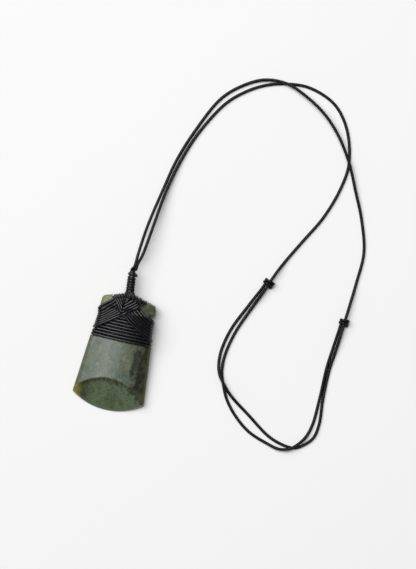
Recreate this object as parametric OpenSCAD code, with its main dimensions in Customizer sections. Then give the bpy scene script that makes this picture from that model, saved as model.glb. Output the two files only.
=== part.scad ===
// Adze pendant: a greenstone blade lashed with waxed cord, with a whipped stem and an adjustable neck cord.
// Millimetres, +Z up. It lies face up on the floor, z = 0, with its upper end towards +Y.
// The origin is under the middle of the stone, its lashing and its stem.

/* [Stone] */
// Length of the stone, from its cutting edge to its upper end
stone_len = 50.4; // [49:0.2:51]
// Width across the corners of the cutting edge
blade_w = 31.2; // [30:0.2:32]
// Width across the corners of the upper end
poll_w = 23.4; // [22.6:0.2:24]
// Radius of the cutting edge, seen from the front
edge_r = 26.8; // [24:0.2:32]
// Radius of the upper end, seen from the front
poll_r = 31; // [26:0.5:40]
// Greatest thickness, where the bevel starts
shoulder_t = 6.5; // [6:0.1:7]
// Thickness at the upper end
poll_t = 5; // [4.6:0.1:5.4]
// Thickness left at the middle of the cutting edge
edge_t = 0.7; // [0.5:0.1:1]
// Radius of the crowned front, across the stone
face_r = 34; // [32:1:44]
// Length of the bevel along the middle
bevel_len = 14.2; // [12:0.2:16]
// Radius of the slightly crowned bevel
bevel_r = 400; // [200:10:600]
// Chamfer along the front edges of the sides
side_chamfer = 0.55; // [0.3:0.05:0.7]

/* [Lashing] */
// Thickness of the lashing's cord
wrap_d = 1.15; // [1:0.05:1.2]
// Level turns round the stone
band_turns = 8; // [6:1:8]
// Spacing of the level turns
band_pitch = 1.33; // [1.2:0.01:1.35]
// Slanting turns in each family that are laid alternately
cross_turns = 7; // [5:1:7]
// Clearance between the stone and what is wound on it
gap = 0.1; // [0.05:0.01:0.15]

/* [Stem] */
// Length of the whipped stem
stem_len = 9.8; // [8:0.2:12]
// Diameter at its top
stem_top_d = 3.7; // [3.4:0.1:3.9]
// Diameter at its base
stem_base_d = 3.9; // [3.6:0.1:4.2]
// Turns of the whipping
stem_turns = 9; // [7:1:11]
// Sideways lean of the stem
stem_lean = 5.4; // [3:0.2:7]

/* [Neck cord] */
// Diameter of the neck cord
neck_d = 1.2; // [1:0.05:1.2]
// Flat sides of the neck cord's tube
neck_sides = 8; // [8:1:12]

/* [Sliding knots] */
// Turns in each knot
knot_turns = 3; // [2:1:3]
// Bore left for the cord that a knot slides on
knot_bore_r = 0.7; // [0.65:0.01:0.75]

/* [Hidden] */
$fn = 96;

// Places along the stone. Its own frame has the flat back at z = 0 and the lashing's lower edge at y = 0.
edge_y = -30.5;
poll_y = edge_y + stone_len;
shoulder_y = edge_y + bevel_len;
blade_corner_y = edge_y + edge_r - sqrt(edge_r * edge_r - blade_w * blade_w / 4);
poll_corner_y = poll_y - poll_r + sqrt(poll_r * poll_r - poll_w * poll_w / 4);
side_slope = (blade_w - poll_w) / 2 / (poll_corner_y - blade_corner_y);
side_angle = atan(side_slope);
face_slope = (shoulder_t - poll_t) / (poll_y - shoulder_y);
bevel_angle = atan((shoulder_t - edge_t) / bevel_len);
bevel_shift = 8;        // the bevel is ground lower to the left
side_t = 3.05;          // height of the front edge at the sides
edge_draft = 20;        // degrees that the end face leans in, so that the corners stay thin
poll_draft = 0.4;       // how far the front of the upper end leans in for each millimetre of height
poll_flat_t = 2.6;      // height at which that lean starts
corner_cut = [[11.8, 16.3], [11.15, 17.8]];     // the worn right corner of the upper end
corner_nick = [[-11.75, 17], [-11.1, 18]];       // the less worn left corner

// Seats for the cord: depth of the side notches at places along the side, and the recess in the upper end.
notch_shape = [[0, 1.35], [2.915, 1.5], [4.245, 2.6], [10, 2.6], [12, 2], [14, 0]];
recess_half_w = 7.7;
recess_d = 0.9;         // its depth at the middle
recess_r = 20;

// Lashing
wrap_inset = 0.8;       // how far in from a side or end the cord starts to turn round it
band_y0 = 0.92;
band_top_y = band_y0 + band_pitch * (band_turns - 0.5);
layer = wrap_d + gap;   // rise of one layer of cord
over_rise = 1;          // rise of a turn that crosses over the other family
seam_x = -1.7;          // the line on which the two families change places
seam_y0 = 12.1;
seam_step = 1.3;
rib_valley = 0.5;       // height of the groove between two turns, as a share of the cord
rib_shoulder = 0.25;    // half the width of a turn's flat top, as a share of the spacing
// Each family: the side it starts from, then first place and step for where its turns leave the front, where
// they lie on the side and where they reach the upper end, then the place on the seam of its last turn, and
// heights added to its inner and outer surfaces.
slash_family = [-1, 14, 1.09, 11.9, 1.13, -6.6, 1.93, seam_y0 + seam_step, 0, 0];
backslash_family = [1, 12.05, 1.23, 10.7, 1.3, -2.27, 1.5, seam_y0 + 0.3, 0.22, -0.13];
last_rise = 0.25;       // the last turn lies a little higher than the rest, and less so behind
last_back_rise = 0.1;
back_over = 0.4;        // share of the rise that is left on the back, where the turns are pressed flat
end_over = 0.55;        // and over the upper end

// How it lies: the lashing's back holds the upper end off the floor.
rest_y = turn_start_y(slash_family, cross_turns) - wrap_d / 3;
back_depth = gap + layer + last_back_rise + wrap_d;
pitch = atan(back_depth / (rest_y - edge_y));

// Stem
stem_at = [-0.7, poll_y - recess_d + 1.53 * layer, 2.6];
stem_flare_d = 4.6;
stem_flare_len = 1.6;
end_bead_d = 1.3;

// Sliding knots
knot_ring_r = knot_bore_r + neck_d / 2;
knot_pitch = 1.1;
knot_half_len = knot_pitch * (knot_turns - 1) / 2 + neck_d / 2;
knot_z = knot_ring_r + neck_d / 2 + 0.02;
knot_sleeve_x = -1.32;
knot_sleeve_len = 0.5;
knot_a_at = [56.7, 38.3, knot_z];
knot_a_yaw = -21.7;
knot_b_at = [91.9, 29.1, knot_z];
knot_b_yaw = -4;

// The neck cords' routes, from the stem's top to the knot that ends each, chosen by eye from how it lies.
cord_z = neck_d / 2;
route_a = [
    stem_exit(-1, 0.02), stem_exit(-1, 0.35), [-1.95, 31.1, 6.55], [-1.62, 31.6, 6.85], [-1.25, 32.2, 7.05],
    [-1.1, 33, 7.1], [-0.98, 35, 6.9], [-0.87, 38, 6.4], [0.42, 51, 4.9], [3.3, 67, 2.8], [6.2, 81, 1.4], [10.9, 94.5, 0.8], [19, 111.1, cord_z],
    [27.4, 118.9, 0.7], [35.6, 123, 1.2], [45.1, 123.4, 1.95], [53.9, 120.1, 2.5], [63.4, 114.4, 2.8],
    [71.2, 106.9, 2.6], [78.7, 96, 2.1], [84.3, 84.4, 1.4], [89.3, 73.5, 0.8], [93.4, 60, cord_z],
    [93.1, 46, 0.8], [92.35, 35.5, knot_z], [91.5, 23.4, knot_z], [90.95, 16.5, 1.2], [90.1, 8, cord_z],
    [90.1, -5, cord_z], [90.9, -16.5, cord_z], [89.8, -22.5, cord_z], [86.9, -26, cord_z],
    [83.3, -28.4, cord_z], [79.2, -28.6, cord_z], [71.3, -26.3, cord_z], [60.3, -19, cord_z], [51.3, -12.7, 1.4],
    [47, -8.3, 1.95], [43.9, -3.5, 1.65], [42.8, 4, 0.8], [44.9, 15, cord_z], [50, 26.7, 1.2],
    knot_end(knot_a_at, knot_a_yaw, 1.5), knot_end(knot_a_at, knot_a_yaw, 0)];
route_b = [
    stem_exit(1, 0.02), stem_exit(1, 0.35), [-0.5, 31.25, 6.05], [-0.3, 31.75, 5.85], [-0.28, 32.3, 5.75],
    [-0.27, 33, 5.75], [0.22, 35, 5.7], [1.05, 38, 5.6], [2.75, 51, 4.7], [4.75, 67, 2.6], [7.8, 80.5, 1.2], [12.6, 94, 0.7], [21.3, 109.3, cord_z],
    [29.3, 116.7, cord_z], [36.9, 121, cord_z], [44.8, 123.3, cord_z], [55, 123.9, cord_z],
    [66.9, 119.4, cord_z], [74.4, 110.3, cord_z], [78.7, 96, cord_z], [77.7, 85, cord_z], [73.2, 71, cord_z],
    [66.5, 58.5, cord_z], [61.4, 49, 0.9], [58.7, 43.3, knot_z], [54.7, 33.3, knot_z], [52.1, 27.1, 1.1],
    [47.1, 14.5, cord_z], [44.9, 4, cord_z], [45.1, -3, cord_z], [46.9, -8.5, cord_z], [49.6, -14.2, cord_z],
    [54.5, -20.2, cord_z], [62, -26, cord_z], [70.7, -29.2, 0.8], [76.3, -30.4, 1.5], [80.8, -29.3, 1.95],
    [84.2, -26.3, 1.8], [86.7, -22.4, 1.1], [88.2, -16.8, cord_z], [88.7, -5, cord_z], [88.75, 8, cord_z],
    [89.5, 17, 1.3], knot_end(knot_b_at, knot_b_yaw, 1.5), knot_end(knot_b_at, knot_b_yaw, 0)];

// The stone's surfaces as functions of a place on it
function half_w(y) = blade_w / 2 - (y - blade_corner_y) * side_slope;
function side_x(y) = half_w(y) - lookup(y, notch_shape);
function end_y(x) = poll_y - recess_d - recess_r + sqrt(recess_r * recess_r - x * x);
function face_z(x, y) = shoulder_t - face_slope * (y - shoulder_y) - face_r + sqrt(face_r * face_r - x * x);

// A cord or wall turns round an edge through these angles: 90 lies on the front, -90 on the back. An inner
// surface has square corners and an outer one rounded ones. It gives how far out and how far up a point lies.
turn_angles = [45, 0, -45];
outer_corner = 1.26;
function turn_by(angle, half_t, h, inner) =
    let (k = angle == 0 ? 1 : inner ? sqrt(2) : outer_corner)
    [k * cos(angle) * (wrap_inset + h), half_t + k * sin(angle) * (half_t + h)];

// Points at height h over the stone, on its front, its back, a side or its upper end
function on_front(x, y, h) = [x, y, face_z(x, y) + h];
function on_back(x, y, h) = [x, y, -h];
function round_side(side, y, angle, h, inner) =
    let (x = side_x(y) - wrap_inset, t = turn_by(angle, face_z(x, y) / 2, h, inner))
    [side * (x + t[0]), y, t[1]];
function round_end(x, angle, h, inner) =
    let (y = end_y(x) - wrap_inset, t = turn_by(angle, face_z(x, y) / 2, h, inner))
    [x, y + t[0], t[1]];

// Heights across one turn, from one groove to the next
function rib_steps(turns) = [for (i = [0:turns - 1]) each [i - 0.5, i - rib_shoulder, i + rib_shoulder], turns - 0.5];
function rib_h(i) = abs(i - round(i)) > 0.4 || abs(abs(i - floor(i)) - 0.5) < 0.01 ? rib_valley * wrap_d : wrap_d;
function groove_steps(turns) = [for (i = [turns:-1:0]) i - 0.5];

// A wall closed on itself: each section is a closed outline, and the last one joins the first. A mirrored
// wall has its faces the other way round.
module closed_wall(sections, mirrored) {
    m = len(sections);
    n = len(sections[0]);
    polyhedron(
        points = [for (s = sections) each s],
        faces = [for (i = [0:m - 1], j = [0:n - 1])
            let (a = i * n + j, b = i * n + (j + 1) % n, c = ((i + 1) % m) * n + j, d = ((i + 1) % m) * n + (j + 1) % n)
            each mirrored ? [[a, b, d], [a, d, c]] : [[a, d, b], [a, c, d]]]);
}

// The stone lies on its cutting edge and on the lashing's back.
module lay_down() {
    translate([0, edge_y, 0]) rotate([pitch, 0, 0]) translate([0, -edge_y, 0]) children();
}

// The stone: its outline from the front, under the crowned front and the bevel, less its chamfers and seats
module adze_stone() {
    color([0.3, 0.36, 0.28]) lay_down() difference() {
        intersection() {
            stone_sides();
            edge_curve();
            poll_curve();
            front_crown();
            bevel_crown();
        }
        for (side = [-1, 1]) {
            side_bevel(side);
            side_notch(side);
        }
        poll_recess();
    }
}

module stone_sides() {
    linear_extrude(height = shoulder_t + 1)
        polygon([[-half_w(edge_y), edge_y], [half_w(edge_y), edge_y],
            corner_cut[0], corner_cut[1], [corner_cut[1][0], poll_y],
            [corner_nick[1][0], poll_y], corner_nick[1], corner_nick[0]]);
}

module edge_curve() {
    top = shoulder_t + 1;
    translate([0, edge_y + edge_r, 0]) cylinder(h = top, r1 = edge_r, r2 = edge_r - top * tan(edge_draft));
}

module poll_curve() {
    top = shoulder_t + 1;
    translate([0, poll_y - poll_r, 0]) {
        cylinder(h = poll_flat_t, r = poll_r);
        translate([0, 0, poll_flat_t])
            cylinder(h = top - poll_flat_t, r1 = poll_r, r2 = poll_r - poll_draft * (top - poll_flat_t));
    }
}

module front_crown() {
    translate([0, shoulder_y, shoulder_t]) rotate([-atan(face_slope), 0, 0])
        translate([0, 0, -face_r]) rotate([90, 0, 0]) cylinder(h = 3 * stone_len, r = face_r, center = true);
}

module bevel_crown() {
    translate([bevel_shift, edge_y, edge_t]) rotate([bevel_angle, 0, 0])
        translate([0, 0, -bevel_r]) rotate([90, 0, 0])
            cylinder(h = 4 * stone_len, r = bevel_r, center = true, $fn = 360);
}

// Cuts the front edge of one side at 45 degrees
module side_bevel(side) {
    reach = 6;
    mirror([side < 0 ? 1 : 0, 0, 0])
        translate([half_w(0), 0, side_t]) rotate([0, 0, side_angle]) rotate([90, 0, 0])
            linear_extrude(height = 2 * stone_len, center = true)
                polygon([[1, -side_chamfer - 1], [1, reach], [-side_chamfer - reach, reach]]);
}

module side_notch(side) {
    top = notch_shape[len(notch_shape) - 1][0];
    mirror([side < 0 ? 1 : 0, 0, 0]) translate([0, 0, -1]) linear_extrude(height = shoulder_t + 3)
        polygon([for (n = notch_shape) [half_w(n[0]) - n[1], n[0]], [blade_w, top], [blade_w, 0]]);
}

module poll_recess() {
    depth = 4;
    difference() {
        translate([-recess_half_w, poll_y - depth, -1]) cube([2 * recess_half_w, 2 * depth, shoulder_t + 3]);
        translate([0, poll_y - recess_d - recess_r, -2]) cylinder(h = shoulder_t + 5, r = recess_r);
    }
}

// The level turns: a ribbed wall round the stone
module band_wraps() {
    across = [-1, -0.75, -0.5, -0.25, 0, 0.25, 0.5, 0.75, 1];
    color([0.13, 0.13, 0.14]) lay_down() closed_wall([
        for (f = across) band_section(f, 90, 1),
        for (angle = turn_angles) band_section(1, angle, 1),
        for (f = [1, 0, -1]) band_section(f, -90, 1),
        for (i = [2:-1:0]) band_section(1, turn_angles[i], -1)], true);
}

// One section of the band: f is the place across the stone, and angle the turn round its side
function band_section(f, angle, side) = [
    for (i = rib_steps(band_turns)) band_point(f, angle, side, band_y0 + i * band_pitch, gap + rib_h(i), false),
    for (i = groove_steps(band_turns)) band_point(f, angle, side, band_y0 + i * band_pitch, gap, true)];

function band_point(f, angle, side, y, h, inner) =
    let (x = f * (side_x(y) - wrap_inset))
    angle == 90 ? on_front(x, y, h) : angle == -90 ? on_back(x, y, h) : round_side(side, y, angle, h, inner);

// The slanting turns. Number i of a family runs from a side to the upper end, through its place on the seam.
function turn_start_y(fam, i) = fam[1] - fam[2] * i;
function turn_side_y(fam, i) = fam[3] - fam[4] * i;
function turn_end_x(fam, i) = -fam[0] * (fam[5] + fam[6] * i);
function turn_seam_y(fam, i) = fam[7] + seam_step * (cross_turns - 1 - i);
function turn_start(fam, i) = let (y = turn_start_y(fam, i)) [fam[0] * (side_x(y) - wrap_inset), y];
function turn_finish(fam, i) = let (x = turn_end_x(fam, i)) [x, end_y(x) - wrap_inset];
function reaches_seam(fam, i) =
    turn_seam_y(fam, i) < turn_finish(fam, i)[1] - 0.5 && fam[0] * (turn_end_x(fam, i) - seam_x) < -0.5;
function turn_middle(fam, i) = reaches_seam(fam, i) ? [seam_x, turn_seam_y(fam, i)]
    : turn_start(fam, i) + 0.8 * (turn_finish(fam, i) - turn_start(fam, i));

// Stations along a turn on the front: shares of its lower stretch, then of its upper one
low_shares = [0, 0.35, 0.7, 0.93];
high_shares = [0.1, 0.5, 1];
stations = [for (t = low_shares) [0, t], for (t = high_shares) [1, t]];
function turn_place(fam, i, st) =
    let (a = turn_start(fam, i), b = turn_middle(fam, i), c = turn_finish(fam, i))
    st[0] == 0 ? a + st[1] * (b - a) : b + st[1] * (c - b);

// A turn lies over the band low down and on the stone higher up. Past the seam it also rides over the other
// family, until it leaves that family's first turn.
base_y = [band_top_y + 2, band_top_y + 4];
function base_h(y) = gap + layer * (1 - share_between(y, base_y[0], base_y[1]));
function share_between(v, low, high) = min(max((v - low) / (high - low), 0), 1);
function other_family(fam) = fam[0] < 0 ? backslash_family : slash_family;
function past_first(fam, p) =
    let (o = other_family(fam), a = turn_start(o, 0), b = turn_finish(o, 0))
    p[1] - a[1] - (b[1] - a[1]) * (p[0] - a[0]) / (b[0] - a[0]);
function over_h(fam, i, p, st) =
    st[0] == 1 && reaches_seam(fam, i) ? over_rise * (1 - share_between(past_first(fam, p), 0.6, 1.8)) : 0;

// A point on turn i: st is its station on the front or the back, or an angle round the end or the side. The
// inner surface stays down, so that nothing is hollow where one family lies over the other.
function turn_point(fam, i, kind, at, h, inner) =
    let (st = kind == "end" ? [1, 1] : kind == "side" ? [0, 0] : at,
        q = turn_place(fam, i, st),
        p = kind == "side" ? [q[0], at == 0 ? turn_side_y(fam, i) : (q[1] + turn_side_y(fam, i)) / 2] : q,
        up = base_h(p[1]) + h + (inner ? 0 : over_h(fam, i, p, st) * (kind == "back" ? back_over : kind == "end" ? end_over : 1)))
    kind == "front" ? on_front(p[0], p[1], up)
    : kind == "back" ? on_back(p[0], p[1], up)
    : kind == "end" ? round_end(p[0], at, up, inner)
    : round_side(fam[0], p[1], at, up, inner);

function wall_section(fam, kind, at) = [
    for (i = rib_steps(cross_turns)) turn_point(fam, i, kind, at, rib_h(i) + fam[9], false),
    for (i = groove_steps(cross_turns)) turn_point(fam, i, kind, at, fam[8], true)];

module family_wall(fam) {
    last = len(stations) - 1;
    closed_wall([
        for (st = stations) wall_section(fam, "front", st),
        for (angle = turn_angles) wall_section(fam, "end", angle),
        for (k = [last:-1:0]) wall_section(fam, "back", stations[k]),
        for (k = [2:-1:0]) wall_section(fam, "side", turn_angles[k])], fam[0] > 0);
}

// The last turn lies over all the others.
module last_turn(fam) {
    i = cross_turns;
    last = len(stations) - 1;
    r = wrap_d / 2;
    h = r + last_rise;
    points = [
        for (st = stations) turn_point(fam, i, "front", st, h, false),
        for (angle = turn_angles) turn_point(fam, i, "end", angle, h, false),
        for (k = [last:-1:0]) turn_point(fam, i, "back", stations[k], r + last_back_rise, false),
        for (k = [2:-1:0]) turn_point(fam, i, "side", turn_angles[k], h, false)];
    for (k = [0:len(points) - 1]) hull() {
        translate(points[k]) sphere(r = r, $fn = 8);
        translate(points[(k + 1) % len(points)]) sphere(r = r, $fn = 8);
    }
}

module cross_lashing() {
    color([0.12, 0.12, 0.13]) lay_down() union() {
        family_wall(slash_family);
        family_wall(backslash_family);
        last_turn(slash_family);
    }
}

// The stem: a flared base, the whipping's turns, a larger top turn and the melted end of the cord
module stem_whipping() {
    turn_h = (stem_len - stem_flare_len) / stem_turns;
    color([0.12, 0.12, 0.13]) stem_frame() {
        rotate_extrude() {
            polygon([[0, 0], [stem_flare_d / 2, 0], [stem_flare_d / 2, 0.4], [stem_base_d / 2 - 0.3, stem_flare_len],
                [stem_top_d / 2 - 0.3, stem_len], [0, stem_len]]);
            for (k = [0:stem_turns - 1])
                translate([stem_r(k / (stem_turns - 1)) - turn_h / 2, stem_flare_len + (k + 0.5) * turn_h - 0.06])
                    circle(r = turn_h / 2);
        }
        translate([stem_top_d / 2 - 0.05, 0, stem_len - 2]) sphere(d = end_bead_d);
    }
}

function stem_r(share) = (stem_base_d + share * (stem_top_d - stem_base_d)) / 2;

module stem_frame() {
    translate(place(stem_at)) rotate([-90, 0, stem_lean]) children();
}

// Where each neck cord leaves the stem's top, and places further on along the stem
function stem_exit(side, further) =
    let (x = 0.25 + side * 0.66, z = stem_len + further)
    place(stem_at) + [x * cos(stem_lean) - z * sin(stem_lean), x * sin(stem_lean) + z * cos(stem_lean), 0];
function place(p) = [p[0], edge_y + (p[1] - edge_y) * cos(pitch) - p[2] * sin(pitch),
    (p[1] - edge_y) * sin(pitch) + p[2] * cos(pitch)];

// A cord: a tube swept along its route
function unit(v) = v / norm(v);
function heading(path, k) = unit(path[min(k + 1, len(path) - 1)] - path[max(k - 1, 0)]);
function cord_ring(p, dir, r, n) =
    let (side = unit(cross([0, 0, 1], dir)), up = cross(dir, side))
    [for (k = [0:n - 1]) p + r * (cos(360 * k / n) * side + sin(360 * k / n) * up)];

module cord(path, r, n) {
    last = len(path) - 1;
    polyhedron(
        points = [for (k = [0:last]) each cord_ring(path[k], heading(path, k), r, n)],
        faces = [
            [for (j = [0:n - 1]) j],
            [for (j = [n - 1:-1:0]) last * n + j],
            for (k = [0:last - 1], j = [0:n - 1])
                let (a = k * n + j, b = k * n + (j + 1) % n) each [[a, a + n, b + n], [a, b + n, b]]]);
}

module neck_cord_a() {
    color([0.1, 0.1, 0.11]) cord(route_a, neck_d / 2, neck_sides);
}

module neck_cord_b() {
    color([0.1, 0.1, 0.11]) cord(route_b, neck_d / 2, neck_sides);
}

// A sliding knot: turns round the bore of the cord that it slides on, a sleeve where its own cord comes in,
// and the short tail. Its own frame has the bore along y.
function knot_end(at, yaw, before) =
    let (x = knot_sleeve_x, y = -knot_half_len - knot_sleeve_len - before)
    at + [x * cos(yaw) - y * sin(yaw), x * sin(yaw) + y * cos(yaw), 0];

module sliding_knot(at, yaw) {
    tail_r = 0.85;
    tail_at = [1.75, -1.1, -knot_z + tail_r + 0.05];
    translate(at) rotate([0, 0, yaw]) difference() {
        union() {
            rotate([90, 0, 0]) rotate_extrude() {
                translate([knot_bore_r - 0.1, -knot_half_len + 0.3])
                    square([knot_ring_r - knot_bore_r + 0.2, 2 * knot_half_len - 0.6]);
                for (k = [0:knot_turns - 1])
                    translate([knot_ring_r, (k - (knot_turns - 1) / 2) * knot_pitch]) circle(d = neck_d);
            }
            translate([knot_sleeve_x, -knot_half_len - knot_sleeve_len, 0]) rotate([-90, 0, 0])
                cylinder(h = knot_half_len + knot_sleeve_len, d = neck_d + 0.1);
            translate(tail_at) sphere(r = tail_r);
        }
        rotate([90, 0, 0]) cylinder(h = 4 * knot_half_len, r = knot_bore_r, center = true);
    }
}

module sliding_knot_a() {
    color([0.14, 0.14, 0.15]) sliding_knot(knot_a_at, knot_a_yaw);
}

module sliding_knot_b() {
    color([0.14, 0.14, 0.15]) sliding_knot(knot_b_at, knot_b_yaw);
}

adze_stone();
band_wraps();
cross_lashing();
stem_whipping();
neck_cord_a();
neck_cord_b();
sliding_knot_a();
sliding_knot_b();
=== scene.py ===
import math

import bmesh
import bpy
from mathutils import Matrix, Vector, noise


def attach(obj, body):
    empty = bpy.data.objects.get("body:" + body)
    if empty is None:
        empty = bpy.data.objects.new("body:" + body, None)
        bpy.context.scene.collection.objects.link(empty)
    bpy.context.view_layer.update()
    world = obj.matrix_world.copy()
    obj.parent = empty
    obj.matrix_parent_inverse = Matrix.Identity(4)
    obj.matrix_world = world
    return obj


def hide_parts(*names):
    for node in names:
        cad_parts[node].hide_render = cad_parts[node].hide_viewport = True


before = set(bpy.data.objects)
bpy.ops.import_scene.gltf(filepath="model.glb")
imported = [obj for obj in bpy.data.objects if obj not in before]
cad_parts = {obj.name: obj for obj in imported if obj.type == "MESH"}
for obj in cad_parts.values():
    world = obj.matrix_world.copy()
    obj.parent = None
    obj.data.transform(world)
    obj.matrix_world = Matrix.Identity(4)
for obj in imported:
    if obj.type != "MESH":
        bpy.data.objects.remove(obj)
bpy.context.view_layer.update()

mm = 0.001

# The picture is taken from straight above, turned a little against the pendant. Lengths are in millimetres.
view = {"middle": (31.1, 31.8), "height": 1200, "turn": 12.75, "frameHeight": 244.7, "sensor": 36, "near": 10}


def putInScene(item):
    bpy.context.scene.collection.objects.link(item)
    return item


cameraData = bpy.data.cameras.new("camera")
cameraData.sensor_fit = "VERTICAL"
cameraData.sensor_height = view["sensor"]
cameraData.lens = view["sensor"] * view["height"] / view["frameHeight"]
cameraData.clip_start = view["near"] * mm
camera = putInScene(bpy.data.objects.new("camera", cameraData))
camera.location = (view["middle"][0] * mm, view["middle"][1] * mm, view["height"] * mm)
camera.rotation_euler = (0, 0, math.radians(view["turn"]))
bpy.context.scene.camera = camera
print("camera is set")


def newPiece(name, mesh, slotName, *nodes):
    piece = putInScene(bpy.data.objects.new(name, mesh))
    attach(piece, "root")
    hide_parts(*nodes)
    return piece


def between(v, low, high):
    return min(max((v - low) / (high - low), 0), 1)


def eased(v, low, high):
    t = between(v, low, high)
    return t * t * (3 - 2 * t)


def onWay(a, b, share):
    return tuple(p + share * (q - p) for p, q in zip(a, b))


def smoothLine(points, step, closed=False):
    # a smooth line through the points, cut into even steps
    pts = [Vector(p) for p in points]
    if closed:
        run = [pts[-1]] + pts + pts[:2]
    else:
        run = [2 * pts[0] - pts[1]] + pts + [2 * pts[-1] - pts[-2]]
    cuts = 12  # fine cuts between two points, from which the even steps are taken
    fine = []
    for k in range(1, len(run) - 2):
        a, b, c, d = run[k - 1:k + 3]
        tb = math.sqrt((b - a).length)
        tc = tb + math.sqrt((c - b).length)
        td = tc + math.sqrt((d - c).length)
        for s in range(cuts):
            t = tb + (tc - tb) * s / cuts
            ab = a.lerp(b, t / tb)
            bc = b.lerp(c, (t - tb) / (tc - tb))
            cd = c.lerp(d, (t - tc) / (td - tc))
            abc = ab.lerp(bc, t / tc)
            bcd = bc.lerp(cd, (t - tb) / (td - tb))
            fine.append(abc.lerp(bcd, (t - tb) / (tc - tb)))
    fine.append(fine[0].copy() if closed else pts[-1])
    reach = [0]
    for a, b in zip(fine, fine[1:]):
        reach.append(reach[-1] + (b - a).length)
    count = max(3, round(reach[-1] / step))
    even, k = [], 0
    for n in range(count + (0 if closed else 1)):
        want = reach[-1] * n / count
        while k < len(reach) - 2 and reach[k + 1] < want:
            k += 1
        span = max(reach[k + 1] - reach[k], 1e-9)
        even.append(fine[k].lerp(fine[k + 1], (want - reach[k]) / span))
    return even


def laidCord(name, lines, look, closed=False):
    # sweeps a section of a few plies along each line, turning it as the plies run round the cord
    section = bpy.data.curves.new(name + "Section", "CURVE")
    section.dimensions = "2D"
    ring = section.splines.new("POLY")
    ring.points.add(look["facets"] - 1)
    ring.use_cyclic_u = True
    for k in range(look["facets"]):
        a = 2 * math.pi * k / look["facets"]
        r = look["radius"] * mm * (1 - look["groove"] * (1 - math.cos(look["plies"] * a)) / 2)
        ring.points[k].co = (r * math.cos(a), r * math.sin(a), 0, 1)
    sectionObject = putInScene(bpy.data.objects.new(name + "Section", section))
    sweep = bpy.data.curves.new(name, "CURVE")
    sweep.dimensions = "3D"
    sweep.twist_mode = "MINIMUM"
    sweep.bevel_mode = "OBJECT"
    sweep.bevel_object = sectionObject
    sweep.use_fill_caps = not closed
    for line in lines:
        size = sum((b - a).length for a, b in zip(line, line[1:]))
        turns = round(size / look["lay"]) or 1
        spline = sweep.splines.new("POLY")
        spline.points.add(len(line) - 1)
        spline.use_cyclic_u = closed
        for k, p in enumerate(line):
            spline.points[k].co = (p.x * mm, p.y * mm, p.z * mm, 1)
            spline.points[k].tilt = 2 * math.pi * (turns * k / len(line) % 1)
    sweepObject = putInScene(bpy.data.objects.new(name, sweep))
    depsgraph = bpy.context.evaluated_depsgraph_get()
    mesh = bpy.data.meshes.new_from_object(sweepObject.evaluated_get(depsgraph))
    for helper in (sweepObject, sectionObject):
        bpy.data.objects.remove(helper)
    bm = bmesh.new()
    bm.from_mesh(mesh)
    bmesh.ops.remove_doubles(bm, verts=bm.verts, dist=0.001 * mm)  # joins the end caps to their tube
    bmesh.ops.recalc_face_normals(bm, faces=bm.faces)
    for face in bm.faces:
        face.smooth = len(face.verts) == 4  # the caps stay flat
    bm.to_mesh(mesh)
    bm.free()
    mesh.name = name
    return mesh


def smoothAround(verts):
    for v in verts:
        for face in v.link_faces:
            face.smooth = True


meltedEnd = {"around": 20, "along": 14, "grain": 2500, "seed": 12}
noise.seed_set(meltedEnd["seed"])  # Blender seeds it by the clock otherwise


def addBlob(bm, at, blob):
    # the melted end of a cord
    verts = bmesh.ops.create_uvsphere(bm, u_segments=meltedEnd["around"], v_segments=meltedEnd["along"],
                                      radius=blob["radius"] * mm)["verts"]
    for v in verts:
        v.co += blob["uneven"] * mm * noise.noise_vector(v.co * meltedEnd["grain"])
    bmesh.ops.translate(bm, verts=verts, vec=at * mm)
    smoothAround(verts)


# The stone's own frame has its back at z = 0. Lying down, it turns about its cutting edge, until the turns at its
# back rest on the floor: they stand backDepth behind it, and the uppermost of them lies at restY.
stone = {
    "edgeY": -30.5, "edgeRadius": 26.8, "edgeDraft": 0.364, "edgeWall": 0.14,
    "pollY": 19.9, "pollRadius": 31, "pollDraft": 0.4, "pollFlat": 2.6,
    "cornerX": 15.6, "cornerY": -25.49, "sideSlope": 0.0905, "sideFront": 3.05, "chamfer": 0.55,
    "shoulderY": -16.3, "shoulderZ": 6.5, "faceSlope": 0.04144, "faceRadius": 34,
    "bevelStart": 0.7, "bevelRise": 0.4085, "bevelRadius": 400, "bevelMiddle": 8, "bevelBlend": 0.05,
    "recess": 0.9, "recessRadius": 20, "recessWidth": 7.4, "recessBlend": 0.3,
    # the side notches' depth at places along the side
    "notch": [(0, 1.35), (2.915, 1.5), (4.245, 2.6), (10, 2.6), (12, 2), (14, 0)],
    # the worn corners of the upper end, right and left: half the width at a place, and how fast it falls above
    "wornCorner": {1: (11.8, 16.3, 0.433), -1: (11.75, 17, 0.65)},
    # how far the front's arrises and its rim are rounded, and the back's rim
    "arrisRound": 0.044, "rimRound": 0.07, "backRound": 0.32, "backShare": 0.7,
    "backDepth": 2.6, "restY": 5.9867,
    # the mesh: its columns lie closer at the sides; its rows follow the ends' arcs, and are level from lowY to highY
    "columns": 104, "columnPower": 1.55, "columnReach": 12, "lowY": -14, "highY": 14,
    "edgeRows": (0, 0.02, 0.045, 0.075, 0.11, 0.15), "moreEdgeRows": 40, "bladeRows": 34,
    "notchRows": (-0.1, -0.05, 0), "lashedRows": 22,
    "endRows": (0.12, 0.24, 0.36, 0.48, 0.6, 0.7, 0.78, 0.85, 0.91, 0.96, 1),
    "rimFade": 0.6, "sharpAngle": 38,
}
pitch = math.atan(stone["backDepth"] / (stone["restY"] - stone["edgeY"]))


def layDown(p):
    x, y, z = p
    y -= stone["edgeY"]
    return Vector((x, stone["edgeY"] + y * math.cos(pitch) - z * math.sin(pitch),
                   y * math.sin(pitch) + z * math.cos(pitch)))


def halfWidth(y):
    return stone["cornerX"] - (y - stone["cornerY"]) * stone["sideSlope"]


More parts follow.
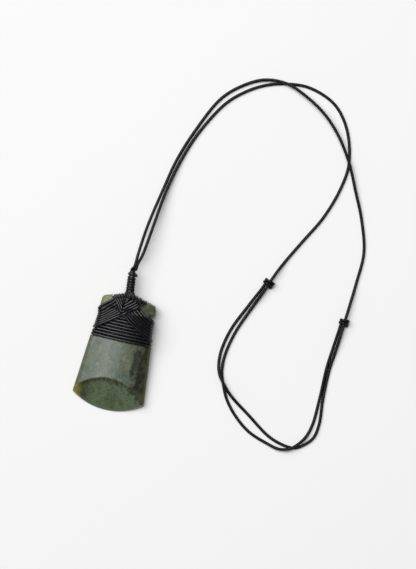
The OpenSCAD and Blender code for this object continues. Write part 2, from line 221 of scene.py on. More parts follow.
def notchDepth(y):
    rows = stone["notch"]
    if y < rows[0][0]:
        return 0
    for (ya, da), (yb, db) in zip(rows, rows[1:]):
        if y <= yb:
            return da + (db - da) * (y - ya) / (yb - ya)
    return 0


def seatX(y):
    # half the width at the bottom of the notches, where the lashing lies
    rows = stone["notch"]
    return halfWidth(y) - notchDepth(min(max(y, rows[0][0]), rows[-1][0]))


def endY(x):
    # the bottom of the recess in the upper end
    radius = stone["recessRadius"]
    return stone["pollY"] - stone["recess"] - radius + math.sqrt(radius * radius - x * x)


def crownZ(x, y):
    return (stone["shoulderZ"] - stone["faceSlope"] * (y - stone["shoulderY"]) - stone["faceRadius"]
            + math.sqrt(stone["faceRadius"] ** 2 - x * x))


# Two cords run up together from the stem. Each goes round the whole loop and ends in a knot on the other.
cordLook = {
    "radius": 0.7, "groove": 0.11, "plies": 3, "facets": 12, "lay": 2.75, "step": 0.27,
    "lengthA": 0.382, "lengthB": 0.375,
}
stem = {
    "at": layDown((-0.7, 20.9125, 2.6)), "lean": math.radians(5.4), "topRadius": 1.85, "baseRadius": 1.95,
    "cordA": -0.41, "cordB": 0.91, "cordRun": (9.82, 10.15),  # where the cords come out of its top
}
knotZ = 1.92
knots = {
    "sleeveX": -1.32, "start": 2.2, "straight": 1.5,
    "knotA": {"at": (56.7, 38.3, knotZ), "yaw": math.radians(-21.7), "wide": 1.75,
              "tail": [(1.7, -1.05, -0.6), (1.35, -1.5, -1.0)]},
    "knotB": {"at": (91.9, 29.1, knotZ), "yaw": math.radians(-4), "wide": 1.5,
              "tail": [(1.45, -1.05, -0.7), (1.2, -1.5, -1.1)]},
}


def stemPoint(out, angle, along):
    lean = stem["lean"]
    side = out * math.cos(angle)
    return stem["at"] + Vector((side * math.cos(lean) - along * math.sin(lean),
                                side * math.sin(lean) + along * math.cos(lean), out * math.sin(angle)))


def knotPoint(knot, x, y, z):
    yaw = knot["yaw"]
    return Vector(knot["at"]) + Vector((x * math.cos(yaw) - y * math.sin(yaw),
                                        x * math.sin(yaw) + y * math.cos(yaw), z))


def leaveStem(cord):
    return [stemPoint(stem[cord], 0, along) for along in stem["cordRun"]]


def enterKnot(knot):
    return [knotPoint(knots[knot], knots["sleeveX"], -knots["start"] - more, 0) for more in (knots["straight"], 0)]


lowZ = 0.6  # a cord that lies on the floor
routeA = leaveStem("cordA") + [
    (-1.95, 31.1, 6.55), (-1.62, 31.6, 6.85), (-1.25, 32.2, 7.05), (-1.1, 33, 7.1), (-0.98, 35, 6.9),
    (-0.87, 38, 6.4), (0.42, 51, 4.9), (3.3, 67, 2.8), (6.2, 81, 1.4), (10.9, 94.5, 0.8), (19, 111.1, lowZ),
    (27.4, 118.9, 0.7), (35.6, 123, 1.2), (45.1, 123.4, 1.95), (53.9, 120.1, 2.5), (63.4, 114.4, 2.8),
    (71.2, 106.9, 2.6), (78.7, 96, 2.1), (84.3, 84.4, 1.4), (89.3, 73.5, 0.8), (93.4, 60, lowZ), (93.1, 46, 0.8),
    (92.35, 35.5, knotZ), (91.5, 23.4, knotZ), (90.95, 16.5, 1.2), (90.1, 8, lowZ), (90.1, -5, lowZ),
    (90.9, -16.5, lowZ), (89.8, -22.5, lowZ), (86.9, -26, lowZ), (83.3, -28.4, lowZ), (79.2, -28.6, lowZ),
    (71.3, -26.3, lowZ), (60.3, -19, lowZ), (51.3, -12.7, 1.4), (47, -8.3, 1.95), (43.9, -3.5, 1.65),
    (42.8, 4, 0.8), (44.9, 15, lowZ), (50, 26.7, 1.2)] + enterKnot("knotA")
routeB = leaveStem("cordB") + [
    (-0.5, 31.25, 6.05), (-0.3, 31.75, 5.85), (-0.28, 32.3, 5.75), (-0.27, 33, 5.75), (0.22, 35, 5.7),
    (1.05, 38, 5.6), (2.75, 51, 4.7), (4.75, 67, 2.6), (7.8, 80.5, 1.2), (12.6, 94, 0.7), (21.3, 109.3, lowZ),
    (29.3, 116.7, lowZ), (36.9, 121, lowZ), (44.8, 123.3, lowZ), (55, 123.9, lowZ), (66.9, 119.4, lowZ),
    (74.4, 110.3, lowZ), (78.7, 96, lowZ), (77.7, 85, lowZ), (73.2, 71, lowZ), (66.5, 58.5, lowZ), (61.4, 49, 0.9),
    (58.7, 43.3, knotZ), (54.7, 33.3, knotZ), (52.1, 27.1, 1.1), (47.1, 14.5, lowZ), (44.9, 4, lowZ),
    (45.1, -3, lowZ), (46.9, -8.5, lowZ), (49.6, -14.2, lowZ), (54.5, -20.2, lowZ), (62, -26, lowZ),
    (70.7, -29.2, 0.8), (76.3, -30.4, 1.5), (80.8, -29.3, 1.95), (84.2, -26.3, 1.8), (86.7, -22.4, 1.1),
    (88.2, -16.8, lowZ), (88.7, -5, lowZ), (88.75, 8, lowZ), (89.5, 17, 1.3)] + enterKnot("knotB")

lineA = smoothLine(routeA, cordLook["step"])
lineB = smoothLine(routeB, cordLook["step"])
neckCordA = newPiece("neckCordA", laidCord("neckCordA", [lineA], cordLook), "neck_cord", "neck_cord_a")
neckCordB = newPiece("neckCordB", laidCord("neckCordB", [lineB], cordLook), "neck_cord", "neck_cord_b")
print("neck cords are laid out")

# Each knot: two turns of a cord round the one that it slides on and round its own standing part, then the tail.
knotLook = {
    "radius": 0.64, "groove": 0.13, "plies": 3, "facets": 12, "lay": 2.75, "step": 0.2,
    "lead": [(-1.32, -2.5, 0), (-1.32, -1.5, -0.05), (-1.3, -0.5, -0.25)],  # its own cord comes in
    "middle": -0.25, "high": 1.27, "from": 0.85, "to": -0.95,
    "turns": 1.58, "firstAngle": 1.12, "points": 26, "swell": 0.1, "slant": 0.35,
    "blob": {"radius": 0.68, "uneven": 0.07},
}


def slidingKnot(name, knot):
    turns = []
    for k in range(knotLook["points"] + 1):
        share = k / knotLook["points"]
        a = math.pi * (knotLook["firstAngle"] - 2 * knotLook["turns"] * share)
        grow = 1 + knotLook["swell"] * math.sin(math.pi * share)
        along = knotLook["from"] + (knotLook["to"] - knotLook["from"]) * share
        turns.append((knotLook["middle"] + knot["wide"] * math.cos(a) * grow,
                      along + knotLook["slant"] * math.cos(a), knotLook["high"] * math.sin(a)))
    line = smoothLine([knotPoint(knot, *p) for p in knotLook["lead"] + turns + knot["tail"]], knotLook["step"])
    mesh = laidCord(name, [line], knotLook)
    bm = bmesh.new()
    bm.from_mesh(mesh)
    addBlob(bm, line[-1], knotLook["blob"])
    bm.to_mesh(mesh)
    bm.free()
    return mesh


slidingKnotA = newPiece("slidingKnotA", slidingKnot("slidingKnotA", knots["knotA"]), "neck_cord", "sliding_knot_a")
slidingKnotB = newPiece("slidingKnotB", slidingKnot("slidingKnotB", knots["knotB"]), "neck_cord", "sliding_knot_b")
[c * mm for c in lineA[0]]
[tuple(p * mm) for p in lineA[::3] + [lineA[-1]]]
[c * mm for c in lineB[0]]
[tuple(p * mm) for p in lineB[::3] + [lineB[-1]]]
print("knots are tied")

lashing = {
    "radius": 0.66, "groove": 0.045, "plies": 3, "facets": 12, "lay": 2.3, "step": 0.34,
    "gap": 0.1, "inset": 0.8, "corner": 1.1,
    # how uneven the turns are, and where the noise for each is read
    "uneven": 0.06, "unevenPace": 0.25, "unevenApart": 7.3, "unevenZ": 1.7, "heightSeed": 40,
    # the level turns, and the angles at which they pass a side
    "bandStart": 0.92, "bandPitch": 1.33, "bandTurns": 8, "bandFront": 24, "bandBack": 12,
    "bandAngles": (60, 30, 0, -30, -60),
    # the slanting turns: the rise over the level ones, with the places where it ends, and the last one's rise
    "turns": 7, "slantRadius": 0.58, "layer": 1.25, "offBand": (12.9, 14.9), "lastRise": 0.25,
    # the line on which the two families cross, how far clear of the upper end a crossing lies, and the rise there
    "seamX": -1.7, "seamStep": 1.3, "seamClear": (0.5, 1.5), "overRise": 1.0, "overX": 0.35, "overHalf": 0.65,
    "overEnd": (0.4, 2.0),
    # the way over the front, before and after the seam, and how far a turn that misses the seam runs straight
    "before": (0, 0.45, 0.9), "after": (0.1, 0.55, 1), "planStep": 0.5, "straight": 0.8,
    # the back, where one family lies over the other near the upper end
    "backShift": 0.5, "backReach": 7.1, "backPoints": 14, "backOver": 0.9, "backOverY": (10.5, 14),
    # over a side, where the turns are pressed into the notches
    "pressed": 0.1, "notchPress": 0.7, "notchFree": (8, 12, 2), "flankAngles": (-55, -28, 0, 28, 55),
    # over the upper end, where the outer turns lie lower
    "endInset": 0.4, "endPressed": 0.06, "endRide": 0.48, "endFall": (3.6, 6.4), "endRideFall": 0.7,
    "endAngles": (58, 30, 0, -30, -58),
}
# Each family of slanting turns: its side, first place and step for where a turn leaves the front and where it lies
# on the side, the place on the seam of its last turn, and where each turn goes over the upper end
slashTurns = {"side": -1, "start": (13.8, 1.07), "flank": (11.9, 1.15), "seam": 13.2, "seed": 20,
              "over": (-6.4, -4.5, -2.5, 0.3, 2.5, 4.2, 5.6, 6.75)}
backslashTurns = {"side": 1, "start": (12.05, 1.23), "flank": (10.7, 1.3), "seam": 12.2, "seed": 60,
                  "over": (0.7, -0.8, -2.4, -3.7, -4.9, -5.9, -6.75)}


def aroundEdge(angle, halfThick, reach, h):
    # a cord bends squarely round the stone, so it stands out a little at the corners
    a = math.radians(angle)
    k = 1 + (lashing["corner"] - 1) * abs(math.sin(2 * a))
    return k * math.cos(a) * reach, halfThick + k * math.sin(a) * (halfThick + h)


def roundSide(side, y, angle, h):
    x = seatX(y) - lashing["inset"]
    out, up = aroundEdge(angle, crownZ(x, y) / 2, lashing["inset"] + h, h)
    return (side * (x + out), y, up)


def roundEnd(x, angle, h):
    y = endY(x) - lashing["endInset"]
    out, up = aroundEdge(angle, crownZ(x, y) / 2, lashing["endInset"] + h, h)
    return (x, y + out, up)


def wobble(seed, at):
    place = Vector((seed * lashing["unevenApart"], at * lashing["unevenPace"], lashing["unevenZ"]))
    return lashing["uneven"] * noise.noise(place)


def bandTurn(k):
    y = lashing["bandStart"] + k * lashing["bandPitch"]
    h = lashing["gap"] + lashing["radius"]
    wide = seatX(y) - lashing["inset"]
    loop = []
    for n in range(lashing["bandFront"] + 1):
        x = wide * (2 * n / lashing["bandFront"] - 1)
        loop.append((x, y + wobble(k, x), crownZ(x, y) + h + wobble(k + lashing["heightSeed"], x)))
    loop += [roundSide(1, y, a, h) for a in lashing["bandAngles"]]
    loop += [(wide * (1 - 2 * n / lashing["bandBack"]), y, -h) for n in range(lashing["bandBack"] + 1)]
    loop += [roundSide(-1, y, a, h) for a in reversed(lashing["bandAngles"])]
    return smoothLine([layDown(p) for p in loop], lashing["step"], True)


def turnEnds(family, i):
    # where a turn starts and where it goes over the upper end
    y = family["start"][0] - family["start"][1] * i
    x = family["over"][i]
    return (family["side"] * (seatX(y) - lashing["inset"]), y), (x, endY(x) + lashing["gap"] + lashing["radius"])


def pastFirst(family, x, y):
    # how far a place lies above the other family's first turn
    a, b = turnEnds(backslashTurns if family is slashTurns else slashTurns, 0)
    return y - a[1] - (b[1] - a[1]) * (x - a[0]) / (b[0] - a[0])


def slantTurn(family, i):
    side = family["side"]
    start, crest = turnEnds(family, i)
    seamY = family["seam"] + lashing["seamStep"] * (lashing["turns"] - 1 - i)
    clearX, clearY = lashing["seamClear"]
    meets = seamY < crest[1] - clearY and side * (crest[0] - lashing["seamX"]) < -clearX
    if meets:
        middle = (lashing["seamX"], seamY)
    else:
        middle = onWay(start, (crest[0], endY(crest[0]) - lashing["endInset"]), lashing["straight"])
    # it leaves the front where its straight run comes to the end's rounded edge
    share, stride = 0, 0.5
    while stride > 0.001:
        x, y = onWay(middle, crest, share + stride)
        if y < endY(min(abs(x), stone["recessWidth"])) - lashing["endInset"]:
            share += stride
        stride /= 2
    finish = onWay(middle, crest, share)
    flankY = family["flank"][0] - family["flank"][1] * i
    last = i == lashing["turns"]

    def rest(y):
        # height of the cord's middle over the stone's face
        overBand = 1 - between(y, *lashing["offBand"])
        rise = lashing["layer"] * overBand + (lashing["lastRise"] if last else 0)
        return lashing["gap"] + lashing["radius"] + rise

    def ride(x, y):
        # rise over the other family, past the seam
        if not meets:
            return 0
        across = -side * (x - lashing["seamX"] + lashing["overX"])
        fade = 1 - eased(pastFirst(family, x, y), *lashing["overEnd"])
        return lashing["overRise"] * eased(across, -lashing["overHalf"], lashing["overHalf"]) * fade

    way = [onWay(start, middle, t) for t in lashing["before"]] + [onWay(middle, finish, t) for t in lashing["after"]]
    plan = smoothLine([(x, y, 0) for x, y in way], lashing["planStep"])
    seed = i + family["seed"]
    front = [(p.x, p.y + wobble(seed, p.x), crownZ(p.x, p.y) + rest(p.y) + ride(p.x, p.y)) for p in plan]

    backReach = lashing["backReach"]
    behindX = max(min(crest[0] - side * lashing["backShift"], backReach), -backReach)
    down = (behindX, endY(behindX) - lashing["endInset"])
    back = []
    for k in range(lashing["backPoints"] + 1):
        x, y = onWay(down, start, k / lashing["backPoints"])
        over = lashing["backOver"] * eased(y, *lashing["backOverY"]) if side > 0 else 0
        back.append((x, y, -rest(y) - over))

    outer = between(abs(crest[0]), *lashing["endFall"])
    rideShare = lashing["endRide"] * (1 - lashing["endRideFall"] * outer)
    endH = rest(finish[1]) - lashing["endPressed"] * outer + ride(*finish) * rideShare
    overEnd = []
    for a in lashing["endAngles"]:
        to = finish[0] if a > 0 else behindX
        overEnd.append(roundEnd(to + (crest[0] - to) * math.cos(math.radians(a)), a, endH))

    deepest = max(depth for y, depth in stone["notch"])
    freeLow, freeHigh, freeDepth = lashing["notchFree"]
    depth = min(notchDepth(flankY) + freeDepth * between(flankY, freeLow, freeHigh), deepest)
    flankH = rest(flankY) - lashing["pressed"] - lashing["notchPress"] * (deepest - depth)
    overSide = [roundSide(side, start[1] + (flankY - start[1]) * math.cos(math.radians(a)), a, flankH)
                for a in lashing["flankAngles"]]
    return smoothLine([layDown(p) for p in front + overEnd + back + overSide], lashing["step"], True)


bandLoops = [bandTurn(k) for k in range(lashing["bandTurns"])]
bandWraps = newPiece("bandWraps", laidCord("bandWraps", bandLoops, lashing, True), "lashing_cord", "band_wraps")
slantLoops = [slantTurn(slashTurns, i) for i in range(lashing["turns"] + 1)]
slantLoops += [slantTurn(backslashTurns, i) for i in range(lashing["turns"])]
slantLook = dict(lashing, radius=lashing["slantRadius"])
crossLashing = newPiece("crossLashing", laidCord("crossLashing", slantLoops, slantLook, True),
                        "lashing_cord", "cross_lashing")
print("lashing is wound")

whipping = {
    "radius": 0.6, "groove": 0.1, "plies": 3, "facets": 12, "lay": 2.2, "step": 0.2,
    "from": 0.7, "to": 7.1, "turns": 5.7, "points": 150,
    # each strand: its distance from the stem's axis, its angle in radians past its own place, and its height
    "strands": 15, "strand": [(2.6, -0.5, -1.9), (2.0, -0.25, -0.6), (1.45, 0, 0.35), (1.0, 0.05, 1.1)],
    "strandTurn": 0.3,
    "core": [(0, -1.4), (2, -1.4), (1.9, 0), (1.45, 1.3), (1.35, 7.4), (1.3, 9.2), (1.1, 9.8), (0.75, 10.3),
             (0, 10.5)],
    "coreSteps": 24,
    "collar": {"radius": 0.84, "out": 1.0, "along": 8.45, "facets": 16, "steps": 40},
    "blobAt": (1.72, 0.1, 7.95), "blob": {"radius": 0.72, "uneven": 0.06},
}


def spinRound(bm, outline, closed, steps):
    # a turned shape about the z axis, from the outline of its half
    verts = [bm.verts.new((out * mm, 0, along * mm)) for out, along in outline]
    edges = [bm.edges.new((verts[k - 1], verts[k])) for k in range(0 if closed else 1, len(verts))]
    bmesh.ops.spin(bm, geom=verts + edges, cent=(0, 0, 0), axis=(0, 0, 1), angle=2 * math.pi,
                   steps=steps, use_merge=True, use_duplicate=False)


def stemMesh():
    helix = []
    for k in range(whipping["points"] + 1):
        share = k / whipping["points"]
        along = whipping["from"] + (whipping["to"] - whipping["from"]) * share
        out = stem["baseRadius"] + (stem["topRadius"] - stem["baseRadius"]) * share - whipping["radius"]
        helix.append(stemPoint(out, 2 * math.pi * whipping["turns"] * share, along))
    lines = [smoothLine(helix, whipping["step"])]
    # strands of the lashing run up into the stem under the first turn
    for k in range(whipping["strands"]):
        a = 2 * math.pi * (k + whipping["strandTurn"]) / whipping["strands"]
        strand = [stemPoint(out, a + turn, along) for out, turn, along in whipping["strand"]]
        lines.append(smoothLine(strand, whipping["step"]))
    mesh = laidCord("stemWhipping", lines, whipping)
    bm = bmesh.new()
    bm.from_mesh(mesh)
    wound = set(bm.verts)
    # the core inside the turns, and the thick turn that closes the top
    spinRound(bm, whipping["core"], False, whipping["coreSteps"])
    collar = whipping["collar"]
    ring = []
    for k in range(collar["facets"]):
        a = 2 * math.pi * k / collar["facets"]
        ring.append((collar["out"] + collar["radius"] * math.cos(a),
                     collar["along"] + collar["radius"] * math.sin(a)))
    spinRound(bm, ring, True, collar["steps"])
    onAxis = 1e-7
    poles = [v for v in bm.verts if v not in wound and math.hypot(v.co.x, v.co.y) < onAxis]
    bmesh.ops.remove_doubles(bm, verts=poles, dist=onAxis)
    spun = [v for v in bm.verts if v not in wound]
    turn = Matrix.Rotation(stem["lean"], 4, "Z") @ Matrix.Rotation(-math.pi / 2, 4, "X")
    bmesh.ops.transform(bm, matrix=Matrix.Translation(stem["at"] * mm) @ turn, verts=spun)
    smoothAround(spun)
    addBlob(bm, stemPoint(*whipping["blobAt"]), whipping["blob"])
    bmesh.ops.recalc_face_normals(bm, faces=bm.faces)
    bm.to_mesh(mesh)
    bm.free()
    return mesh


stemWhipping = newPiece("stemWhipping", stemMesh(), "lashing_cord", "stem_whipping")
print("stem is whipped")


def softMin(values, k):
    # the least of the values, rounded over k where two of them meet
    low = min(values)
    return low - k * math.log(sum(math.exp((low - v) / k) for v in values))


def stoneOutline(y, side):
    # half the width at y, with the worn corners of the upper end
    width, atY, fall = stone["wornCorner"][side]
    return min(halfWidth(y) - notchDepth(y), width - (y - atY) * fall)


def rimGaps(x, y, side):
    # how far a place lies inside the stone's side, its cutting edge and its upper end
    s = stone
    return (stoneOutline(y, side) - abs(x),
            s["edgeRadius"] - math.hypot(x, y - s["edgeY"] - s["edgeRadius"]),
            s["pollRadius"] - math.hypot(x, y - s["pollY"] + s["pollRadius"]))


def frontHeight(x, y, side):
    # the front's height, the bevel's share in it, and how far the place lies below the line of the bevel
    s = stone
    fromSide, fromEdge, fromPoll = rimGaps(x, y, side)
    crown = crownZ(x, y)
    bevel = s["bevelStart"] + (y - s["edgeY"]) * s["bevelRise"] - (x - s["bevelMiddle"]) ** 2 / (2 * s["bevelRadius"])
    chamfer = s["sideFront"] - s["chamfer"] + fromSide
    edge = s["edgeWall"] + fromEdge / s["edgeDraft"]
    poll = s["pollFlat"] + fromPoll / s["pollDraft"]
    share = 1 / (1 + math.exp(min(max((bevel - crown) / s["bevelBlend"], -30), 30)))
    body = softMin((crown, bevel), s["arrisRound"])
    return softMin((body, chamfer, edge, poll), s["rimRound"]), share, crown - bevel


def evenly(low, high, count):
    return [low + (high - low) * k / count for k in range(1, count + 1)]


def stonePlace(u, row):
    # a place on the stone's plan: u runs from side to side, from -1 to 1
    s = stone
    kind, at = row
    side = 1 if u >= 0 else -1
    x = u * s["columnReach"]
    y = at
    for _ in range(6):  # the width and an arc's height depend on each other
        if kind == "edge":
            arc = s["edgeY"] + s["edgeRadius"] - math.sqrt(max(s["edgeRadius"] ** 2 - x * x, 1))
            y = arc + at * (s["lowY"] - arc)
        elif kind == "end":
            whole = s["pollY"] - s["pollRadius"] + math.sqrt(s["pollRadius"] ** 2 - x * x)
            cut = 1 - eased(abs(x), s["recessWidth"], s["recessWidth"] + s["recessBlend"])
            arc = whole + (endY(x) - whole) * cut
            y = s["highY"] + at * (arc - s["highY"])
        x = u * stoneOutline(y, side)
    return x, y, side


def stoneMesh():
    s = stone
    rows = [("edge", t) for t in s["edgeRows"]]
    rows += [("edge", t) for t in evenly(s["edgeRows"][-1], 1, s["moreEdgeRows"])]
    rows += [("level", y) for y in evenly(s["lowY"], s["notchRows"][0], s["bladeRows"])]
    rows += [("level", y) for y in s["notchRows"][1:]]
    rows += [("level", y) for y in evenly(s["notchRows"][-1], s["highY"], s["lashedRows"])]
    rows += [("end", t) for t in s["endRows"]]
    bm = bmesh.new()
    bmesh.ops.create_grid(bm, x_segments=s["columns"], y_segments=len(rows) - 1, size=1)
    bevelShare = bm.verts.layers.float.new("bevel")
    underLine = bm.verts.layers.float.new("underLine")
    rimShare = bm.verts.layers.float.new("rim")
    for v in bm.verts:
        u = math.copysign(1 - (1 - abs(v.co.x)) ** s["columnPower"], v.co.x)
        x, y, side = stonePlace(u, rows[round((v.co.y + 1) / 2 * (len(rows) - 1))])
        z, v[bevelShare], v[underLine] = frontHeight(x, y, side)
        v[rimShare] = math.exp(-max(min(rimGaps(x, y, side)), 0) / s["rimFade"])
        v.co = (x, y, z)
    # the back is a flat copy of the front with a small round at its rim
    back = bmesh.ops.duplicate(bm, geom=bm.verts[:] + bm.edges[:] + bm.faces[:])["geom"]
    for v in [g for g in back if isinstance(g, bmesh.types.BMVert)]:
        x, y, front = v.co
        near = 1 - between(min(rimGaps(x, y, 1 if x >= 0 else -1)), 0, s["backRound"])
        v.co.z = min(s["backRound"] * (1 - math.sqrt(max(1 - near * near, 0))), s["backShare"] * front)
        v[bevelShare] = 0
    bmesh.ops.reverse_faces(bm, faces=[g for g in back if isinstance(g, bmesh.types.BMFace)])
    bmesh.ops.bridge_loops(bm, edges=[e for e in bm.edges if e.is_boundary])
    for v in bm.verts:
        v.co = layDown(v.co) * mm
    bmesh.ops.recalc_face_normals(bm, faces=bm.faces)
    smoothAround(bm.verts)
    for e in bm.edges:
        if e.is_manifold and e.calc_face_angle() > math.radians(s["sharpAngle"]):
            e.smooth = False
    mesh = bpy.data.meshes.new("adzeStone")
    bm.to_mesh(mesh)
    bm.free()
    return mesh


adzeStone = newPiece("adzeStone", stoneMesh(), "greenstone", "adze_stone")
print("stone is ground")


class Value:
    # a socket that takes part in sums; each sum adds a Math node
    def __init__(self, paint, socket):
        self.paint = paint
        self.socket = socket

    def other(self, name):
        return Value(self.paint, self.socket.node.outputs[name])

    def math(self, operation, a, b):
        return self.paint.add("ShaderNodeMath", {"operation": operation}, {0: a, 1: b})

    def __add__(self, b):
        return self.math("ADD", self, b)

    def __radd__(self, a):
        return self.math("ADD", a, self)

    def __sub__(self, b):
        return self.math("SUBTRACT", self, b)

    def __rsub__(self, a):
        return self.math("SUBTRACT", a, self)

    def __mul__(self, b):
        return self.math("MULTIPLY", self, b)

    def __rmul__(self, a):
        return self.math("MULTIPLY", a, self)


def linearTone(rgb):
    # a picture's colour, 0 to 255, as the shader's linear one
    shares = [c / 255 for c in rgb]
    return tuple(c / 12.92 if c <= 0.04045 else ((c + 0.055) / 1.055) ** 2.4 for c in shares) + (1,)


class Paint:
    # a material in the making: its tones by name, and the patterns that its coats follow
    def __init__(self, name, tones):
        self.material = bpy.data.materials.new(name)
        self.material.use_nodes = True
        self.tree = self.material.node_tree
        self.tree.nodes.clear()
        self.tones = {key: linearTone(rgb) for key, rgb in tones.items()}
        self.patterns = {}

    def add(self, kind, settings=None, sockets=None, output=0):
        node = self.tree.nodes.new(kind)
        for key, value in (settings or {}).items():
            setattr(node, key, value)
        for key, value in (sockets or {}).items():
            if isinstance(value, Value):
                self.tree.links.new(value.socket, node.inputs[key])
            else:
                node.inputs[key].default_value = value
        return Value(self, node.outputs[output]) if node.outputs else None

    def coordinates(self, kind):
        return self.add("ShaderNodeTexCoord", {}, {}, kind)

    def scaled(self, where, scale):
        return self.add("ShaderNodeMapping", {}, {"Vector": where, "Scale": scale})

    def grain(self, where, look):
        scale, detail, rough = look
        return self.add("ShaderNodeTexNoise", {}, {"Vector": where, "Scale": scale, "Detail": detail,
                                                    "Roughness": rough})

    def fade(self, value, start, full):
        if start > full:
            return 1 - self.fade(value, full, start)
        return self.add("ShaderNodeMapRange", {"interpolation_type": "SMOOTHSTEP"}, {0: value, 1: start, 2: full})

    def mask(self, pattern, start, full, strength):
        fade = self.fade(self.patterns[pattern], start, full)
        return fade if strength == 1 else fade * strength

    def mix(self, share, a, b):
        return self.add("ShaderNodeMix", {"data_type": "RGBA"}, {0: share, 6: a, 7: b}, 2)

    def coat(self, colour, coats):
        for toneName, *mask in coats:
            colour = self.mix(self.mask(*mask), colour, self.tones[toneName])
        return colour

    def bump(self, strength, depth, height):
        return self.add("ShaderNodeBump", {}, {"Strength": strength, "Distance": depth * mm, "Height": height})

    def finish(self, sockets):
        surface = self.add("ShaderNodeBsdfPrincipled", {}, sockets)
        self.add("ShaderNodeOutputMaterial", {}, {"Surface": surface})
        return self.material


# Each coat or mask: the pattern that it follows, where that starts and where it is full, and its strength.
# Places are in metres.
greenstone = {
    "tones": {
        "warm": (83, 89, 69), "cool": (71, 88, 72), "pale": (108, 115, 100), "deep": (46, 52, 33),
        "black": (14, 16, 7), "bevel": (88, 103, 77), "bevelDark": (56, 64, 42), "thin": (92, 112, 80),
        "olive": (56, 56, 24), "edge": (76, 80, 40), "gold": (138, 126, 48), "rim": (70, 72, 34),
        "brownEdgeLine": (96, 66, 50), "poll": (100, 108, 66), "pollDark": (66, 76, 50), "bead": (96, 104, 70),
    },
    # grains, with their scale, detail and roughness; the first three are drawn out along the blade
    "drawnOut": 0.62, "cloud": (230, 4, 0.55), "veil": (620, 4, 0.65), "patch": (500, 3, 0.6),
    "speck": (950, 3, 0.6), "fine": (2600, 2, 0.5), "ripple": (260, 2, 0.5),
    "faceCoats": [("cool", "cloud", 0.45, 0.55, 1), ("pale", "veil", 0.5, 0.62, 0.6),
                  ("deep", "patch", 0.54, 0.64, 0.5), ("deep", "speck", 0.54, 0.64, 0.45)],
    # the right side is darker: painted shade where the crowned face turns away from the light, over the stone's own
    # dark mottling, with a few olive flecks
    "right": ("rightX", 0.0067, 0.0094, 0.94), "rightEdge": 0.013,
    "shadeAndMottlingCoats": [("black", "patch", 0.4, 0.53, 1), ("olive", "speck", 0.54, 0.64, 0.6),
                   ("edge", "rim", 0.06, 0.4, 0.7), ("edge", "y", -0.018, -0.0235, 0.8)],
    # the bevel: darker clouds, olive flecks, and a lighter green near its rim, which is painted light showing through
    # the thin stone
    "bevelCoats": [("bevelDark", "cloud", 0.47, 0.63, 0.5), ("olive", "speck", 0.51, 0.61, 0.65),
                   ("thin", "rim", 0.02, 0.25, 0.6)],
    # a brown line at the right end of the cutting edge, and a gold corner beyond an olive and black left side
    "brownEdgeLine": ("rim", 0.7, 0.95, 1), "brownEdgeLineX": ("x", 0.005, 0.009, 0.7),
    "left": ("leftX", -0.0065, -0.0125, 1), "leftEdge": 0.008, "leftOlive": 0.7,
    "leftBlack": ("patch", 0.5, 0.58, 0.6),
    "corner": ("cornerX", -0.0160, -0.0200, 0.9), "cornerEdge": 0.004, "cornerSlope": 0.2,
    # a dark band lies just under the line of the bevel
    "band": ("under", 1.1, 0.2, 0.8), "bandEdge": 5, "bandFleck": ("speck", 0.48, 0.6, 1),
    "rimShare": 0.7,
    "upper": ("y", 0.013, 0.0145, 1), "pollEdge": 0.006,
    "upperCoats": [("pollDark", "x", -0.002, 0.002, 1), ("bead", "veil", 0.45, 0.6, 0.5),
                   ("gold", "pollX", -0.0095, -0.0118, 0.55), ("deep", "speck", 0.5, 0.62, 0.4)],
    "bump": 0.12, "bumpDepth": 0.2, "fineBump": 0.3,
    "roughness": 0.34, "matt": ("veil", 0.4, 0.7, 0.08), "ior": 1.6,
}


def greenstoneMaterial():
    g = greenstone
    paint = Paint("greenstone", g["tones"])
    tones, patterns = paint.tones, paint.patterns
    here = paint.coordinates("Object")
    x = paint.add("ShaderNodeSeparateXYZ", {}, {0: here})
    y = x.other("Y")
    along = paint.scaled(here, (1, g["drawnOut"], 1))
    cloud, veil, patch = (paint.grain(along, g[name]) for name in ("cloud", "veil", "patch"))
    bevel, under, rim = (paint.add("ShaderNodeAttribute", {"attribute_name": name}, {}, "Fac")
                         for name in ("bevel", "underLine", "rim"))
    patterns.update({
        "x": x, "y": y, "cloud": cloud, "veil": veil, "patch": patch, "rim": rim,
        "speck": paint.grain(here, g["speck"]),
        "rightX": x + (cloud - 0.5) * g["rightEdge"] + (veil - 0.5) * g["rightEdge"],
        "leftX": x + (cloud - 0.5) * g["leftEdge"],
        "cornerX": x + (veil - 0.5) * g["cornerEdge"] + y * g["cornerSlope"],
        "pollX": x + (patch - 0.5) * g["pollEdge"],
        "under": under + (patch - 0.5) * g["bandEdge"],
    })
    # painted shade and the stone's own dark mottling on the right of the face
    shadeAndMottling = paint.coat(tones["deep"], g["shadeAndMottlingCoats"])
    face = paint.mix(paint.mask(*g["right"]), paint.coat(tones["warm"], g["faceCoats"]), shadeAndMottling)

    # the bevel, with painted light showing through its thin edge
    low = paint.coat(tones["bevel"], g["bevelCoats"])
    low = paint.mix(paint.mask(*g["brownEdgeLine"]) * paint.mask(*g["brownEdgeLineX"]), low, tones["brownEdgeLine"])
    left = paint.mask(*g["left"])
    low = paint.mix(left * g["leftOlive"], low, tones["olive"])
    low = paint.mix(left * paint.mask(*g["leftBlack"]), low, tones["black"])
    fleck = paint.mix(paint.mask(*g["bandFleck"]), tones["black"], tones["olive"])
    low = paint.mix(paint.mask(*g["band"]), low, fleck)
    low = paint.mix(paint.mask(*g["corner"]), low, tones["gold"])

    body = paint.mix(bevel, face, low)
    body = paint.mix(rim * g["rimShare"], body, tones["rim"])
    body = paint.mix(paint.mask(*g["upper"]), body, paint.coat(tones["poll"], g["upperCoats"]))
    height = paint.grain(here, g["fine"]) * g["fineBump"] + paint.grain(here, g["ripple"])
    return paint.finish({
        "Base Color": body, "Roughness": g["roughness"] + paint.mask(*g["matt"]),
        "Normal": paint.bump(g["bump"], g["bumpDepth"], height), "IOR": g["ior"],
    })


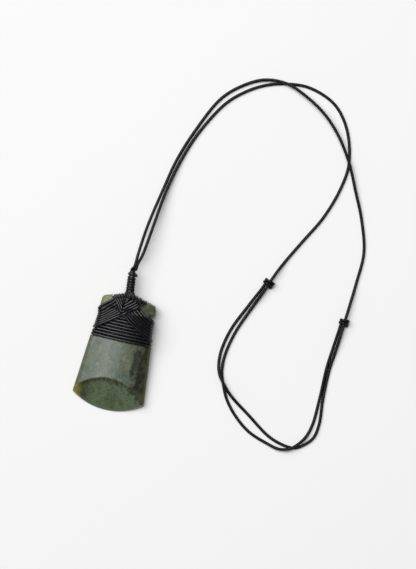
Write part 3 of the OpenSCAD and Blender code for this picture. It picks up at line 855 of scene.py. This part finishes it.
waxedCord = {
    "tones": {"black": (4, 4, 7), "worn": (19, 19, 26), "dust": (90, 87, 80)},
    # the fibres follow the cord: how often they repeat along one of its runs and round it
    "fibre": (1, 3, 0.6), "fibrePace": 0.9, "wax": (700, 3, 0.6), "fleck": (1500, 2, 0.5),
    "coats": [("worn", "fibre", 0.4, 0.75, 0.6), ("worn", "wax", 0.55, 0.75, 0.35),
              ("dust", "fleck", 0.74, 0.8, 0.5)],
    "bump": 0.17, "bumpDepth": 0.06, "waxBump": 0.6, "roughness": 0.29, "matt": ("wax", 0.4, 0.7, 0.16),
    "neck": {"run": 382, "around": 26, "shine": 0.2}, "lash": {"run": 66, "around": 24, "shine": 0.5},
}


def waxedCordMaterial(name, cord):
    w = waxedCord
    paint = Paint(name, w["tones"])
    here = paint.coordinates("Object")
    fibreRun = paint.scaled(paint.coordinates("UV"), (cord["run"] * w["fibrePace"], cord["around"], 1))
    fibre = paint.grain(fibreRun, w["fibre"])
    wax = paint.grain(here, w["wax"])
    paint.patterns.update({"fibre": fibre, "wax": wax, "fleck": paint.grain(here, w["fleck"])})
    return paint.finish({
        "Base Color": paint.coat(paint.tones["black"], w["coats"]),
        "Roughness": w["roughness"] + paint.mask(*w["matt"]),
        "Normal": paint.bump(w["bump"], w["bumpDepth"], fibre + wax * w["waxBump"]),
        "Specular IOR Level": cord["shine"],
    })


neckWax = waxedCordMaterial("waxedNeckCord", waxedCord["neck"])
lashWax = waxedCordMaterial("waxedLashingCord", waxedCord["lash"])
for material, pieces in (
        (greenstoneMaterial(), [adzeStone]),
        (neckWax, [neckCordA, neckCordB, slidingKnotA, slidingKnotB]),
        (lashWax, [bandWraps, crossLashing, stemWhipping])):
    for piece in pieces:
        piece.data.materials.clear()
        piece.data.materials.append(material)
print("materials are on")

studio = {
    "paper": (236, 236, 235), "paperGrain": (900, 2, 0.55), "paperBump": 0.04, "paperDepth": 0.1,
    "paperRoughness": 0.85, "floorSize": 1500, "floorCuts": 8, "floorZ": -0.03,
    "world": (0.93, 0.95, 1, 1), "worldStrength": 0.13, "aim": (20, 20, 0),
    "key": {"at": (-2080, 990, 2470), "size": (2470, 1820), "power": 53},
    "top": {"at": (-455, 585, 2470), "size": (1950, 1430), "power": 53},
}

bm = bmesh.new()
bmesh.ops.create_grid(bm, x_segments=studio["floorCuts"], y_segments=studio["floorCuts"],
                      size=studio["floorSize"] * mm)
bmesh.ops.translate(bm, verts=bm.verts, vec=(0, 0, studio["floorZ"] * mm))
floorMesh = bpy.data.meshes.new("floor")
bm.to_mesh(floorMesh)
bm.free()
floor = putInScene(bpy.data.objects.new("floor", floorMesh))
paper = Paint("palePaper", {"paper": studio["paper"]})
paperGrain = paper.grain(paper.coordinates("Object"), studio["paperGrain"])
floorMesh.materials.append(paper.finish({
    "Base Color": paper.tones["paper"], "Roughness": studio["paperRoughness"],
    "Normal": paper.bump(studio["paperBump"], studio["paperDepth"], paperGrain),
}))

world = bpy.data.worlds.new("studio")
world.use_nodes = True
background = world.node_tree.nodes["Background"].inputs
background["Color"].default_value = studio["world"]
background["Strength"].default_value = studio["worldStrength"]
bpy.context.scene.world = world
bpy.context.scene.view_settings.view_transform = "Standard"  # keeps the paper near white and the cord black
for name in ("key", "top"):
    facts = studio[name]
    light = bpy.data.lights.new(name, "AREA")
    light.shape = "RECTANGLE"
    light.size, light.size_y = (v * mm for v in facts["size"])
    light.energy = facts["power"]
    lamp = putInScene(bpy.data.objects.new(name, light))
    lamp.location = [v * mm for v in facts["at"]]
    lamp.rotation_euler = (Vector(studio["aim"]) * mm - lamp.location).to_track_quat("-Z", "Y").to_euler()
print("floor and lights are set")

bpy.context.view_layer.update()
